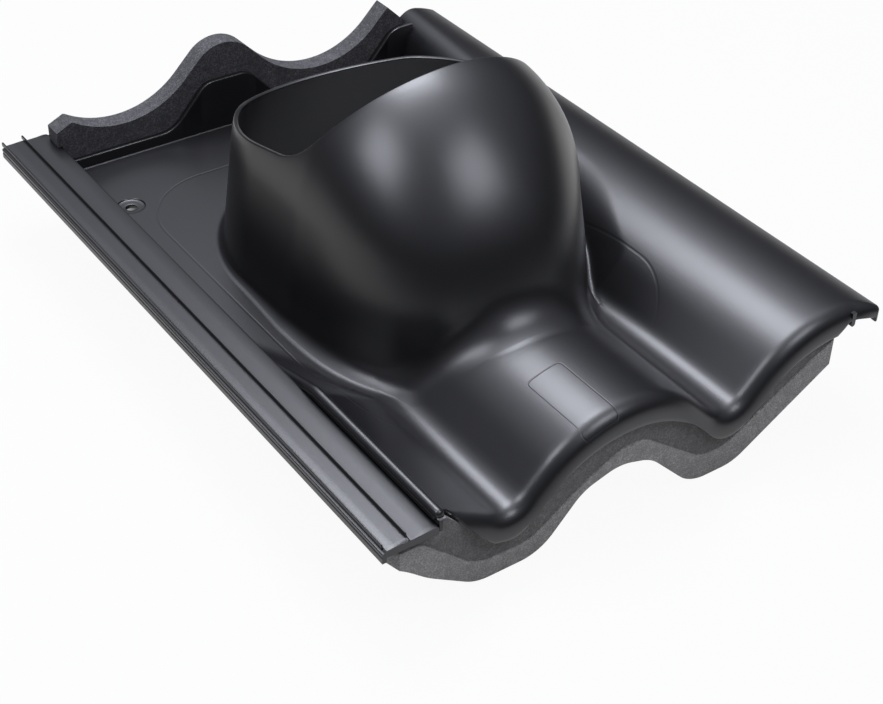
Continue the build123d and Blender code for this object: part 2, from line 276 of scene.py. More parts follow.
def ring_block(outline, dome_rows, ground_rows):
    """The dome and the ground around it, in lines from the mouth's rim out to a closed outline.

    Each line runs square to the dome's plan. On the dome its points are where rays from the dome's
    core leave the moulding, from the rim's elevation down to level ones just above the valley at the
    dome's foot. From there they are heights over even steps, closer together at both ends.
    """
    core = np.stack([np.full(len(outline), DOME_AXIS), np.clip(outline[:, 1], DOME_FRONT, DOME_BACK)], -1)
    span = outline - core
    reach = np.linalg.norm(span, axis=-1)
    outward = span / reach[:, None]
    radius = np.linspace(94.0, 136.0, 43)[:, None]  # the valley lies between these, from the core
    plan = core + outward * radius[..., None]
    heights = height(plan[..., 0], plan[..., 1])
    valley = heights.min(0)
    foot = radius[:, 0][np.argmax(heights < valley + 0.3, axis=0)]
    base = valley + 0.6

    def leave(elevation):
        """Where the rays of the given elevations leave the moulding."""
        way = np.concatenate([outward * np.cos(elevation)[..., None],
                              np.broadcast_to(np.sin(elevation)[..., None], elevation.shape + (1,))], -1)
        start = np.concatenate([core, base[:, None]], -1)
        low = np.zeros(elevation.shape)
        past_hood = 220.0
        high = np.minimum(foot / np.maximum(np.cos(elevation), 0.01), past_hood)
        for _ in range(30):
            middle = (low + high) / 2
            inside = field(*np.moveaxis(start + way * middle[..., None], -1, 0)) < 0
            low, high = np.where(inside, middle, low), np.where(inside, high, middle)
        return start + way * low[..., None]

    low, high = np.zeros(len(outline)), np.full(len(outline), math.pi / 2)
    for _ in range(30):
        middle = (low + high) / 2
        at = leave(middle)
        above = at[:, 2] > mouth_height(at[:, 1])
        low, high = np.where(above, low, middle), np.where(above, middle, high)
    t = 1 - np.linspace(0, 1, dome_rows + 1)[:, None]
    dome = leave(low * (0.55 * t + 0.45 * t * t))
    start = np.linalg.norm(dome[-1, :, :2] - core, axis=-1)
    s = spaced(0, 1, ground_rows, 0.6, 0.5)[1:, None]
    plan = core + outward * (start + (reach - start) * s)[..., None]
    points = np.concatenate([dome, on_top(plan[..., 0], plan[..., 1])])
    return points, normal_at(points)


def rim_rows(top, normal):
    """Rows that round the mouth's edge: outer corner, inner corner and a narrow land between them."""
    up = top[0] - top[1]
    up /= np.linalg.norm(up, axis=-1, keepdims=True)
    n = normal[0]
    outer = [top[0] + up * a - n * b for a, b in ((1.1, 0.7), (0.95, 0.35), (0.55, 0.1))]
    inner = [top[0] + up * a - n * b for a, b in ((1.1, 2.4), (0.95, 2.7), (0.55, 2.9))]
    return np.stack(outer), np.stack(inner)


def lip_rows(top, normal, radius, lower):
    """Rows that roll the front over: a quarter turn about an axis one radius below the surface,
    then a plain face down to the lower edge. The inner rows turn about the same axis."""
    centre = top - normal * radius[:, None]
    side = np.abs(normal[:, 0]) > 0.95
    room = np.clip((lower - centre[:, 2] + 0.6) / np.maximum(radius * normal[:, 2], 0.2), 0, 1)
    most = np.where(side, math.pi / 2, np.arccos(room))

    def rolled(reach):
        """The eight rows of the roll at a distance from its axis."""
        turn = most * np.arange(1, 9)[:, None] / 8
        rows = centre + normal * (np.cos(turn) * reach)[..., None]
        rows[..., 1] = radius - np.sin(turn) * reach
        return rows

    def faced(rows, inset):
        """The rolled rows and three more down the plain face, the last one set back by inset."""
        share = np.array([0.34, 0.7, 1.0])[:, None]
        face = np.repeat(rows[-1:], 3, 0)
        face[..., 2] += np.where(side, -0.2, bottom - face[..., 2]) * share
        face[..., 1] += np.where(side, 0.2 * share, inset * (share == 1))
        return np.concatenate([rows, face])

    outer, inner = rolled(radius), rolled(radius - np.minimum(WALL, radius))
    bottom = np.minimum(lower, outer[-1, :, 2] - 0.6)
    return faced(outer, 0.5), faced(inner, 0.0)


def lip_edge(x):
    """Height of the lip's lower edge: the wave less the lip's drop, steeper left of the first trough."""
    run = FIRST_TROUGH - x
    rise = np.where(run > 0, np.maximum(run - 7.17, 0.3 * run), wave(np.maximum(x, FIRST_TROUGH))[0])
    return rise - LIP_DROP + 7.5 * ramp(x, 303, 312)


def quads(rows, columns, closed=False):
    """Corner numbers of a grid's faces, counted row by row."""
    last = columns if closed else columns - 1
    i, j = np.meshgrid(np.arange(rows - 1), np.arange(last), indexing="ij")
    k = (j + 1) % columns
    return np.stack([i * columns + j, i * columns + k, (i + 1) * columns + k, (i + 1) * columns + j],
                    -1).reshape(-1, 4)


def shell(grids):
    """Joins grids of (outer, inner) points to one closed shell.

    Grids that meet share their edge points, so points at the same place become one. The inner points
    get the same faces turned over, and a band of faces joins both along every open edge.
    """
    outer, inner, faces, count = [], [], [], 0
    for top, under, closed in grids:
        rows, columns = top.shape[:2]
        faces.append(quads(rows, columns, closed) + count)
        outer.append(top.reshape(-1, 3))
        inner.append(under.reshape(-1, 3))
        count += rows * columns
    outer, inner, faces = np.concatenate(outer), np.concatenate(inner), np.concatenate(faces)
    _, first, number = np.unique(np.round(outer * 200).astype(np.int64), axis=0, return_index=True,
                                 return_inverse=True)
    outer, inner, faces = outer[first], inner[first], number.reshape(-1)[faces]
    edges = np.concatenate([faces[:, [k, (k + 1) % 4]] for k in range(4)])
    _, where, uses = np.unique(np.sort(edges, axis=1), axis=0, return_index=True, return_counts=True)
    open_edges = edges[where[uses == 1]]
    size = len(outer)
    start, end = open_edges.T
    band = np.stack([end, start, start + size, end + size], -1)
    return np.concatenate([outer, inner]), np.concatenate([faces, faces[:, ::-1] + size, band]).tolist()


def wall_beside_strip(top, under, normal, y):
    """Adds columns down the wall beside the strip, from a block's left edge, and their inner side."""
    foot = np.minimum(top[:, :1, 2] - 3.0, 14.0)
    places = [(STRIP_WIDTH, foot), (STRIP_WIDTH, top[:, :1, 2] - 0.7), (33.2, top[:, :1, 2] - 0.2)]
    extra = np.concatenate([np.stack([np.full_like(z, x), y[:, :1], z], -1) for x, z in places], 1)
    deep = extra.copy()
    deep[..., 0] = 34.6
    deep[:, 1:, 2] = np.maximum(under[:, :1, 2] - 0.1, foot + 0.05)
    side = np.broadcast_to((-1.0, 0.0, 0.0), extra.shape)
    return [np.concatenate(pair, 1) for pair in ((extra, top), (deep, under), (side, normal))]


def rounded_right_edge(top, under, normal, y):
    """Adds columns that turn over the right edge about one axis, and go straight down to its foot."""
    last, lean = top[:, -1], normal[:, -1]
    radius = ((TILE_WIDTH - last[:, 0]) / (1 - lean[:, 0]))[:, None]
    centre = last - lean * radius
    turn = np.arctan2(lean[:, 2], lean[:, 0])[:, None] * np.array([0.75, 0.5, 0.25, 0.0])
    low = centre[:, 2:] + (EDGE_FOOT - centre[:, 2:]) * np.array([0.35, 0.7, 1.0])
    x = np.concatenate([centre[:, :1] + radius * np.cos(turn), np.full_like(low, TILE_WIDTH)], 1)
    z = np.concatenate([centre[:, 2:] + radius * np.sin(turn), low], 1)
    turn = np.concatenate([turn, np.zeros_like(low)], 1)
    extra = np.stack([x, np.broadcast_to(y[:, -1:], x.shape), z], -1)
    side = np.stack([np.cos(turn), np.zeros_like(x), np.sin(turn)], -1)
    deep = extra.copy()
    deep[..., 0] = TILE_WIDTH - WALL
    high = under[:, -1:, 2] - 0.1
    deep[..., 2] = high + (EDGE_FOOT - high) * np.arange(1, 8) / 7
    return [np.concatenate(pair, 1) for pair in ((top, extra), (under, deep), (normal, side))]


def block(x, y, wall=True, edge=True):
    """A block of the skin over a grid of places: its outer points, its inner points and its normals."""
    top = on_top(x, y)
    normal = normal_at(top)
    parts = top, top - WALL * normal, normal
    if wall:
        parts = wall_beside_strip(*parts, y)
    if edge:
        parts = rounded_right_edge(*parts, y)
    return parts


def front_block(across):
    """The rows from the ring block to the lip, drawn forward to where each roll starts, and the roll."""
    rows = spaced(BLOCK_FRONT, 10.0, 18)
    top, under, normal = block(*np.meshgrid(across, rows))
    radius = np.interp(top[-1, :, 0], (STRIP_WIDTH, 33.1, 36.0, 42.0, 318.0, EDGE_START, TILE_WIDTH),
                       (2, 4, 7, 10, 10, 4, 3))
    share = np.linspace(0, 1, len(rows))[:, None]
    for grid in (top, under):
        grid[..., 1] = BLOCK_FRONT + (radius - BLOCK_FRONT) * share
    edge_x = (top[-1] - normal[-1] * radius[:, None])[:, 0]
    outer, inner = lip_rows(top[-1], normal[-1], radius, lip_edge(edge_x))
    return np.concatenate([top, outer]), np.concatenate([under, inner]), False


def screw_seat():
    """Rings around the screw hole, from its edge over the sunk seat out to a square of faces."""
    side, edge = np.linspace(-SEAT_HALF, SEAT_HALF, 9)[:-1], np.full(8, SEAT_HALF)
    square = np.concatenate([np.stack(pair, -1) for pair in
                             ((side, -edge), (edge, side), (-side, edge), (-edge, -side))])
    way = square / np.linalg.norm(square, axis=-1, keepdims=True)
    rings = np.array([(3.4, -1.6), (3.6, -1.15), (4.2, -1.0), (6.2, -1.0), (8.3, -1.0), (8.8, -0.8),
                      (9.1, -0.25), (9.4, 0.0)])
    plan = SEAT + np.concatenate([way * rings[:, :1, None], square[None]])
    sunk = np.append(rings[:, 1], 0)[:, None]
    top = on_top(plan[..., 0], plan[..., 1])
    top[..., 2] += sunk
    under = top.copy()
    under[..., 2] = -WALL - 0.6 * (sunk < -0.5)
    return top, under, True


def skin():
    """The moulded skin: one ring block around the dome, and blocks of rows along and across it."""
    seat_left, seat_front, seat_back = SEAT[0] - SEAT_HALF, SEAT[1] - SEAT_HALF, SEAT[1] + SEAT_HALF
    strip_part = np.concatenate([spaced(33.6, seat_left, 3)[:-1], spaced(seat_left, BLOCK_LEFT, 8)])
    ahead, beside = 112, 8  # rows in front of the seat and beside it
    along = np.concatenate([spaced(BLOCK_FRONT, seat_front, ahead)[:-1],
                            spaced(seat_front, seat_back, beside)[:-1], spaced(seat_back, BLOCK_BACK, 10)])

    def middle_part(y):
        """Across places over the ring block."""
        return np.linspace(BLOCK_LEFT, block_side(y), BLOCK_COLUMNS + 1)

    def right_part(y):
        """Across places from the ring block's right side to the rounded right edge."""
        return block_side(y) + (EDGE_START - block_side(y)) * np.linspace(0, 1, 27)

    def across(y):
        """Across places of a whole row in front of the ring block or behind it."""
        return np.concatenate([strip_part[:-1], middle_part(y)[:-1], right_part(y)])

    front_x, back_x = middle_part(BLOCK_FRONT), middle_part(BLOCK_BACK)[::-1]
    outline = np.concatenate([
        np.stack([front_x, np.full_like(front_x, BLOCK_FRONT)], -1)[:-1],
        np.stack([block_side(along), along], -1)[:-1],
        np.stack([back_x, np.full_like(back_x, BLOCK_BACK)], -1)[:-1],
        np.stack([np.full_like(along, BLOCK_LEFT), along[::-1]], -1)[:-1]])
    top, normal = ring_block(outline, 40, 30)
    rim_outer, rim_inner = rim_rows(top, normal)
    grids = [(np.concatenate([rim_outer, top]), np.concatenate([rim_inner, top - WALL * normal]), True),
             front_block(across(BLOCK_FRONT)),
             (*block(*np.meshgrid(across(BLOCK_BACK), spaced(BLOCK_BACK, BODY_LENGTH, 12)))[:2], False)]
    right_x = right_part(along[:, None])
    right_y = np.broadcast_to(along[:, None], right_x.shape)
    grids.append((*block(right_x, right_y, wall=False)[:2], False))
    for first, last, columns in ((0, ahead, strip_part), (ahead, ahead + beside, strip_part[:4]),
                                 (ahead + beside, len(along) - 1, strip_part)):
        x, y = np.meshgrid(columns, along[first:last + 1])
        grids.append((*block(x, y, edge=False)[:2], False))
    return shell(grids + [screw_seat()])


def carried(profile, ys):
    """A profile of (across, up) places carried along to each of ys, as a grid of points."""
    profile = np.asarray(profile, float)
    x, y, z = np.broadcast_arrays(profile[:, 0], np.asarray(ys, float)[:, None], profile[:, 1])
    return np.stack([x, y, z], -1)


def tube(grid):
    """The points and faces of a grid whose columns run round in a loop, with a flat face at each end."""
    rows, count = grid.shape[:2]
    faces = quads(rows, count, True).tolist()
    faces += [list(range(count)), [rows * count - 1 - k for k in range(count)]]
    return grid.reshape(-1, 3), faces


def strip():
    """The strip: its section carried back, with the rear right corner rounded in plan.

    The section has a stepped outer side, a lower outer ledge, and a rounded right edge.
    """
    section = [(0.0, 10.0), (0.0, 13.2), (0.35, 13.5), (0.35, 14.3), (0.0, 14.6), (0.0, 15.9), (0.3, 16.3),
               (1.15, 16.5), (1.5, 16.7), (2.2, 17.4), (2.6, 17.6), (8.0, 17.7), (14.6, 18.0), (15.4, 18.0),
               (16.2, 17.4), (24.0, 17.6), (31.0, 18.0), (32.3, 17.75), (32.85, 17.1), (33.0, 16.3),
               (33.0, 13.0), (2.6, 13.0), (2.6, 10.0)]
    round_corner = 5.0
    start = STRIP_END - round_corner
    ys = np.concatenate([(0.0, 0.4), np.linspace(3.0, STRIP_END - 8.0, 60),
                         start + round_corner * np.sin(np.linspace(0, math.pi / 2, 8))])
    grid = carried(section, ys)
    past = np.maximum(ys - start, 0)
    inset = round_corner - np.sqrt(np.maximum(round_corner ** 2 - past ** 2, 0))
    grid[..., 0] = np.minimum(grid[..., 0], (STRIP_WIDTH - inset)[:, None])
    grid[0, :, 2] = np.minimum(grid[0, :, 2], 17.6)
    return tube(grid)


def fin(middle, foot, top):
    """A water bar: a thin rib with a rounded top and sloping ends, past the strip's rear end."""
    section = [(middle - 0.45, foot), (middle - 0.45, top - 0.25), (middle - 0.2, top), (middle + 0.2, top),
               (middle + 0.45, top - 0.25), (middle + 0.5, foot)]
    grid = carried(section, np.concatenate([(2.5, 3.4), np.linspace(10.0, TILE_LENGTH - 1.0, 40),
                                            (TILE_LENGTH,)]))
    grid[0, :, 2] = np.minimum(grid[0, :, 2], foot + 0.6)
    grid[-1, :, 2] = np.minimum(grid[-1, :, 2], top - 0.5)
    return tube(grid)


def upstand():
    """The rear upstand: its top follows the humps, its front foot is a hollow fillet, its top is rounded.

    Across place and a loop around the wall's section are the two parameters. Each point of the loop
    is (along, up, share), and share times the humps' height is added to up.
    """
    humps = fillet_line(((30, 7.8), (110.6, 7.8), (136.5, 36.2), (169.5, 36.2), (195.4, 7.8), (260.6, 7.8),
                         (286.5, 36.2), (303, 36.2)), (21, 15, 15, 21, 21, 15))
    x = np.linspace(31.0, 303.0, 150)
    top = np.interp(x, humps[:, 0], humps[:, 1])
    front, back = UPSTAND_FRONT, UPSTAND_FRONT + UPSTAND_WIDTH
    hollow, bottom = 1.2, -2.5
    turn = np.linspace(0, math.pi / 2, 6)
    fillet = np.stack([front - hollow + hollow * np.sin(turn), hollow - hollow * np.cos(turn) - 0.02,
                       np.zeros(6)], -1)
    loop = np.concatenate([fillet, [
        (front, -1.0, 1.0), (front + 0.35, -0.3, 1.0), (front + 1.0, 0.0, 1.0), (back - 1.0, 0.0, 1.0),
        (back - 0.3, -0.3, 1.0), (back, -1.0, 1.0), (back, bottom, 0.0), (front - hollow, bottom, 0.0)]])
    z = np.maximum(loop[:, 1] + top[:, None] * loop[:, 2], bottom)
    return tube(np.stack([*np.broadcast_arrays(x[:, None], loop[:, 0]), z], -1))


def bead():
    """The bead beside the strip: a round rod with a ball end at the front, sinking with the bank."""
    radius, x, z, start, end = 3.0, 35.2, 22.0, 1.5, 216.0
    turn = np.linspace(0.06, 1, 7) * math.pi / 2
    ys = np.concatenate([start + radius - radius * np.cos(turn), np.linspace(8, BANK_LENGTH, 24),
                         np.linspace(BANK_LENGTH + 4, end, 26)])[:, None]
    size = radius * np.concatenate([np.sin(turn), np.ones(50)])[:, None]
    fall = np.maximum(ys - BANK_LENGTH, 0) * BANK_FALL
    around = np.linspace(0, 2 * math.pi, 24, endpoint=False)
    parts = x + size * np.cos(around), ys, z - fall + size * np.sin(around)
    return tube(np.stack(np.broadcast_arrays(*parts), -1))


def rounded_bar_profile(left, right, low, high):
    """A bar's outline with its lower corners rounded."""
    r = (right - left) / 2
    turn = np.linspace(math.pi, 2 * math.pi, 9)
    arc = [((left + right) / 2 + r * math.cos(t), low + r + r * math.sin(t)) for t in turn]
    return arc + [(right, high), (left, high)]


def seal_block(x, low, front_top, back_top, front, back, line=None, step=0.0):
    """A foam seal: a section between low and its tops at the front and the back, carried across.

    Across place and a loop around the section are the two parameters. Above line the front face
    steps back. Returns the points, the faces and a share that is 1 on the face above the line.
    """
    line = (low + front_top) / 2 if line is None else line
    rise, u = np.linspace(0, 1, 14), np.arange(8) / 8
    over = np.minimum(line + 0.7, front_top - 0.2)
    below = low[:, None] + (line - low)[:, None] * rise
    above = over[:, None] + (front_top - over)[:, None] * rise[:-1]
    lid = front_top[:, None] + (back_top - front_top)[:, None] * u
    rear = back_top[:, None] + (low - back_top)[:, None] * u
    base = np.broadcast_to(low[:, None], lid.shape)
    z = np.concatenate([below, above, lid, rear, base], 1)
    y = np.concatenate([np.full(14, front), np.full(13, front + step),
                        front + step + (back - front - step) * u, np.full(8, back),
                        back + (front - back) * u])
    upper = np.concatenate([np.zeros(14), np.ones(21), np.zeros(16)])
    points, faces = tube(np.stack([*np.broadcast_arrays(x[:, None], y), z], -1))
    return points, faces, np.broadcast_to(upper, z.shape).reshape(-1)


def rear_seal_top(x):
    """Top of the rear seal: trough arcs and crest arcs that echo the waves, cut down at both ends."""
    base, radius, crest = 22.0, 64.0, 25.3
    left, left_top, left_end, left_peak = 30.0, 28.4, 43.4, 34.6
    right_start, right, right_top = 284.5, 299.5, 37.5
    valley = base + radius
    middle = base + WAVE_HEIGHT - crest
    reach = np.abs(x - FIRST_TROUGH - HALF_PITCH)
    from_valley = np.minimum(np.abs(HALF_PITCH - reach), radius)
    hill = middle + np.sqrt(np.maximum(crest ** 2 - reach ** 2, 0))
    hollow = valley - np.sqrt(radius ** 2 - from_valley ** 2)
    flank_start, flank_end = crest * math.sin(FLANK), radius * math.sin(FLANK)
    straight = middle + crest * math.cos(FLANK) - (reach - flank_start)
    top = np.where(reach < flank_start, hill, np.where(reach < HALF_PITCH - flank_end, straight, hollow))
    flank_foot = valley - radius * math.cos(FLANK) - flank_end - SECOND_TROUGH
    top = np.where(x > SECOND_TROUGH + flank_end, flank_foot + x, top)
    cut = left_top + (x - left) * (left_peak - left_top) / (left_end - left)
    top = np.where(x < left_end, np.minimum(top, cut), top)
    peak = flank_foot + right_start
    end_cut = peak + (x - right_start) * (right_top - peak) / (right - right_start)
    return np.where(x > right_start, end_cut, top)


def rear_seal():
    """The rear seal's points and faces: its lower side lies on the strip and on the moulding."""
    front, back = 429.2, 443.2
    x = np.unique(np.concatenate([np.linspace(30.0, 33.0, 4), np.linspace(33.4, 299.5, 180)]))
    top = rear_seal_top(x)
    moulding = np.maximum(*(height(x, np.full_like(x, y)) for y in (430.0, 442.0)))
    low = np.where(x < 33.2, STRIP_HEIGHT + 0.2, moulding + 0.3)
    return seal_block(x, np.minimum(low, top - 1.0), top, top, front, back)[:2]


def front_seal():
    """The front seal's points, faces and share of its upper layer: two layers cut along the waves,
    its top inside the lip, and its left end slanting."""
    left, front, back = 8.0, 4.0, 17.8
    under_strip = 34.5
    x = np.linspace(left, 305.0, 240)
    line = fillet_line([(left, -4.5), (60, -38.5), (101, -38.5), (128, -9), (152, -2), (174, -8.5),
                        (206, -41), (238, -41), (275, -18), (305, 0.5)], [28.0] * 8)
    low = np.interp(x, line[:, 0], line[:, 1])
    top = np.where(x < under_strip, 12.5, lip_edge(x) + 1.5)
    back_top = np.where(x < under_strip, 12.5, height(x, np.full_like(x, 14.0)) - 5.0)
    seam = fillet_line([(left, 6.5), (25, 6), (60, -26), (93, -27.5), (128, -4), (152, 8), (168, 8),
                        (214, -27), (232, -24), (305, 18)], [12, 25, 25, 30, 20, 15, 25, 15])
    line = np.clip(np.interp(x, seam[:, 0], seam[:, 1]), low + 1.0, np.maximum(top - 2.0, low + 1.2))
    points, faces, upper = seal_block(x, low, top, back_top, front, back, line, 0.9)
    points[:, 0] += (1 - ramp(points[:, 0], left, 34)) * (4.6 - 0.27 * (points[:, 1] - front))
    return points, faces, upper


def join(parts):
    """Puts several (points, faces) together as one mesh's data."""
    faces, count = [], 0
    for points, own in parts:
        faces += [[corner + count for corner in face] for face in own]
        count += len(points)
    return np.concatenate([points for points, _ in parts]), faces


def build(name, points, faces, material, nodes, slot, crease=35.0):
    """Makes the finished piece from points in the moulding's places: smooth, facing outwards and on root.

    Faces with no area, where an inner roll closes to a line, are dissolved first.
    """
    mesh = bpy.data.meshes.new(name)
    mesh.from_pydata(place(points).tolist(), [], faces)
    mesh.update()
    work = bmesh.new()
    work.from_mesh(mesh)
    bmesh.ops.dissolve_degenerate(work, edges=work.edges, dist=2e-6)
    bmesh.ops.recalc_face_normals(work, faces=work.faces)
    work.to_mesh(mesh)
    work.free()
    mesh.polygons.foreach_set("use_smooth", np.ones(len(mesh.polygons), bool))
    mesh.set_sharp_from_angle(angle=math.radians(crease))
    mesh.materials.append(material)
    piece = bpy.data.objects.new(name, mesh)
    bpy.context.scene.collection.objects.link(piece)
    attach(piece, "root")
    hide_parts(*nodes)
    return piece


def linear(colour, alpha=1.0):
    """Turns a six-figure sRGB hex colour to linear values."""
    parts = [int(colour[k:k + 2], 16) / 255 for k in (0, 2, 4)]
    return [c / 12.92 if c <= 0.04045 else ((c + 0.055) / 1.055) ** 2.4 for c in parts] + [alpha]


def add_node(tree, kind, inputs=None, **settings):
    """Adds a node, sets what it is given, and links each input that is given as a socket."""
    node = tree.nodes.new(kind)
    for name, value in settings.items():
        setattr(node, name, value)
    for name, value in (inputs or {}).items():
        if isinstance(value, bpy.types.NodeSocket):
            tree.links.new(value, node.inputs[name])
        else:
            node.inputs[name].default_value = value
    return node


def new_material(name):
    """An empty node material with its output."""
    material = bpy.data.materials.new(name)
    material.use_nodes = True
    tree = material.node_tree
    tree.nodes.clear()
    return material, tree, tree.nodes.new("ShaderNodeOutputMaterial")


def outline_mask(tree, place_at, centre, half, corner, width):
    """1 on the outline of a rounded rectangle seen from above, and 0 off it: distance from it below width."""
    at = add_node(tree, "ShaderNodeVectorMath", {0: place_at, 1: centre + (0,)}, operation="SUBTRACT")
    at = add_node(tree, "ShaderNodeVectorMath", {0: at.outputs["Vector"], 1: (1, 1, 0)}, operation="MULTIPLY")
    at = add_node(tree, "ShaderNodeVectorMath", {0: at.outputs["Vector"]}, operation="ABSOLUTE")
    inner = (half[0] - corner, half[1] - corner, 0)
    past = add_node(tree, "ShaderNodeVectorMath", {0: at.outputs["Vector"], 1: inner}, operation="SUBTRACT")
    past = add_node(tree, "ShaderNodeVectorMath", {0: past.outputs["Vector"], 1: (0, 0, 0)},
                    operation="MAXIMUM")
    reach = add_node(tree, "ShaderNodeVectorMath", {0: past.outputs["Vector"]}, operation="LENGTH")
    away = add_node(tree, "ShaderNodeMath", {0: reach.outputs["Value"], 1: corner}, operation="SUBTRACT")
    away = add_node(tree, "ShaderNodeMath", {0: away.outputs["Value"]}, operation="ABSOLUTE")
    return add_node(tree, "ShaderNodeMapRange",
                    {"Value": away.outputs["Value"], "From Min": width * 0.4, "From Max": width * 1.6,
                     "To Min": 1.0, "To Max": 0.0}).outputs["Result"]


def moulded_plastic(settings):
    """Polypropylene, injection moulded and dyed black through: a soft satin skin that mirrors broad
    lights as blurred pools, with a very fine grain and faint rubbed marks. The grain is drawn 0.7 mm
    wide, coarser than the real one, so that it shows."""
    material, tree, output = new_material("moulded_polypropylene")
    place_at = add_node(tree, "ShaderNodeTexCoord").outputs["Object"]
    cloud = add_node(tree, "ShaderNodeTexNoise", {"Vector": place_at, "Scale": 9.0, "Detail": 4.0})
    grain = add_node(tree, "ShaderNodeTexNoise", {"Vector": place_at, "Scale": 1400.0, "Detail": 2.0})
    base, level = linear(settings.plastic_colour), settings.plastic_roughness
    colour = add_node(tree, "ShaderNodeMix",
                      {"Factor": cloud.outputs["Fac"], "A": [c * 0.85 for c in base[:3]] + [1],
                       "B": [c * 1.15 for c in base[:3]] + [1]}, data_type="RGBA")
    rough = add_node(tree, "ShaderNodeMapRange",
                     {"Value": cloud.outputs["Fac"], "To Min": level - 0.03, "To Max": level + 0.03})
    # The pan's witness line, which fades towards the front, and the outline of the crest's panel
    witness = outline_mask(tree, place_at, (-0.0105, -0.0018), (0.1035, 0.153), 0.05, 0.0006)
    along = add_node(tree, "ShaderNodeSeparateXYZ", {"Vector": place_at}).outputs["Y"]
    fade = add_node(tree, "ShaderNodeMapRange", {"Value": along, "From Min": -0.145, "From Max": -0.115,
                                                 "To Min": 0.05, "To Max": 0.5}).outputs["Result"]
    witness = add_node(tree, "ShaderNodeMath", {0: witness, 1: fade}, operation="MULTIPLY").outputs["Value"]
    panel = outline_mask(tree, place_at, (-0.033, -0.2), (0.011, 0.0255), 0.003, 0.0003)
    lines = add_node(tree, "ShaderNodeMath", {0: witness, 1: panel}, operation="MAXIMUM")
    line_bump = add_node(tree, "ShaderNodeBump", {"Height": lines.outputs["Value"], "Strength": 0.5,
                                                  "Distance": 0.0003}, invert=True)
    bump = add_node(tree, "ShaderNodeBump", {"Height": grain.outputs["Fac"], "Strength": 0.12,
                                             "Distance": 0.0002, "Normal": line_bump.outputs["Normal"]})
    shader = add_node(tree, "ShaderNodeBsdfPrincipled",
                      {"Base Color": colour.outputs["Result"], "Roughness": rough.outputs["Result"],
                       "IOR": 1.58, "Normal": bump.outputs["Normal"]})
    tree.links.new(shader.outputs["BSDF"], output.inputs["Surface"])
    return material


def cell_foam(name, low, high):
    """Polyethylene foam, cut from a block: matt, with open cells about 1 mm wide at the cut, which
    show as light and dark specks: light cell walls, and painted shade in the cells' hollows. The upper layer
    is darker."""
    material, tree, output = new_material(name)
    place_at = add_node(tree, "ShaderNodeTexCoord").outputs["Object"]
    cells = add_node(tree, "ShaderNodeTexVoronoi", {"Vector": place_at, "Scale": 900.0})
    cloud = add_node(tree, "ShaderNodeTexNoise", {"Vector": place_at, "Scale": 240.0, "Detail": 5.0})
    mixed = add_node(tree, "ShaderNodeMath", {0: cells.outputs["Distance"], 1: cloud.outputs["Fac"]},
                     operation="MULTIPLY")
    # Painted shade: the cells' colour darkens the hollow of each cut cell; the walls' colour is the foam's
    # own.
    colour = add_node(tree, "ShaderNodeMix",
                      {"Factor": mixed.outputs["Value"], "A": linear(low), "B": linear(high)},
                      data_type="RGBA")
    layer = add_node(tree, "ShaderNodeAttribute", attribute_name="upper_layer")
    colour = add_node(tree, "ShaderNodeMix",
                      {"Factor": layer.outputs["Fac"], "A": colour.outputs["Result"],
                       "B": (0.48, 0.48, 0.48, 1)}, data_type="RGBA", blend_type="MULTIPLY")
    bump = add_node(tree, "ShaderNodeBump", {"Height": mixed.outputs["Value"], "Strength": 0.6,
                                             "Distance": 0.0006})
    shader = add_node(tree, "ShaderNodeBsdfPrincipled",
                      {"Base Color": colour.outputs["Result"], "Roughness": 0.85, "IOR": 1.45,
                       "Normal": bump.outputs["Normal"]})
    tree.links.new(shader.outputs["BSDF"], output.inputs["Surface"])
    return material


class VentTileSizes(bpy.types.PropertyGroup):
    """Colours and finish of the tile that a user would change."""

    plastic_colour: bpy.props.StringProperty(
        name="Plastic colour", description="sRGB hex colour of the moulding", default="0b0b0d")
    plastic_roughness: bpy.props.FloatProperty(
        name="Plastic roughness", description="Blur of the moulding's sheen", default=0.34, min=0.05, max=1.0,
        subtype="FACTOR")
    # The foams' cell colours are painted shade in the hollows of the cut cells; their wall colours are the
    # foams' own.
    front_foam_dark: bpy.props.StringProperty(
        name="Front foam, cells", description="sRGB hex colour in the front seal's cells", default="716f6b")
    front_foam_light: bpy.props.StringProperty(
        name="Front foam, walls", description="sRGB hex colour of the front seal's cell walls",
        default="c4c2be")
    rear_foam_dark: bpy.props.StringProperty(
        name="Rear foam, cells", description="sRGB hex colour in the rear seal's cells", default="222225")
    rear_foam_light: bpy.props.StringProperty(
        name="Rear foam, walls", description="sRGB hex colour of the rear seal's cell walls",
        default="6c6b6c")


class VENTTILE_OT_moulding(bpy.types.Operator):
    """Build the moulded tile with its dome, strip, fins, bead and upstand"""

    bl_idname = "vent_tile.moulding"
    bl_label = "Moulding"

    def execute(self, context):
        back_wall = [(30.0, -3.0), (30.0, 13.5), (33.0, 13.5), (33.0, -3.0)]
        overlock_rib = rounded_bar_profile(313.0, 316.0, 25.0, 34.0)
        parts = [skin(), strip(), fin(1.75, 16.5, 19.5), fin(15.4, 17.8, 20.4), upstand(), bead(),
                 tube(carried(back_wall, (BANK_LENGTH - 3.0, BODY_LENGTH))),
                 tube(carried(overlock_rib, np.linspace(0.5, BODY_LENGTH, 20)))]
        for trough in (FIRST_TROUGH, SECOND_TROUGH):
            nib = [(trough - 13, -27), (trough + 13, -27), (trough + 13, -1.5), (trough - 13, -1.5)]
            parts.append(tube(carried(nib, (BODY_LENGTH - 16, BODY_LENGTH - 6))))
        points, faces = join(parts)
        build("moulded_tile", points, faces, moulded_plastic(context.scene.vent_tile), ["tile_body"],
              "moulded_plastic")
        return {"FINISHED"}


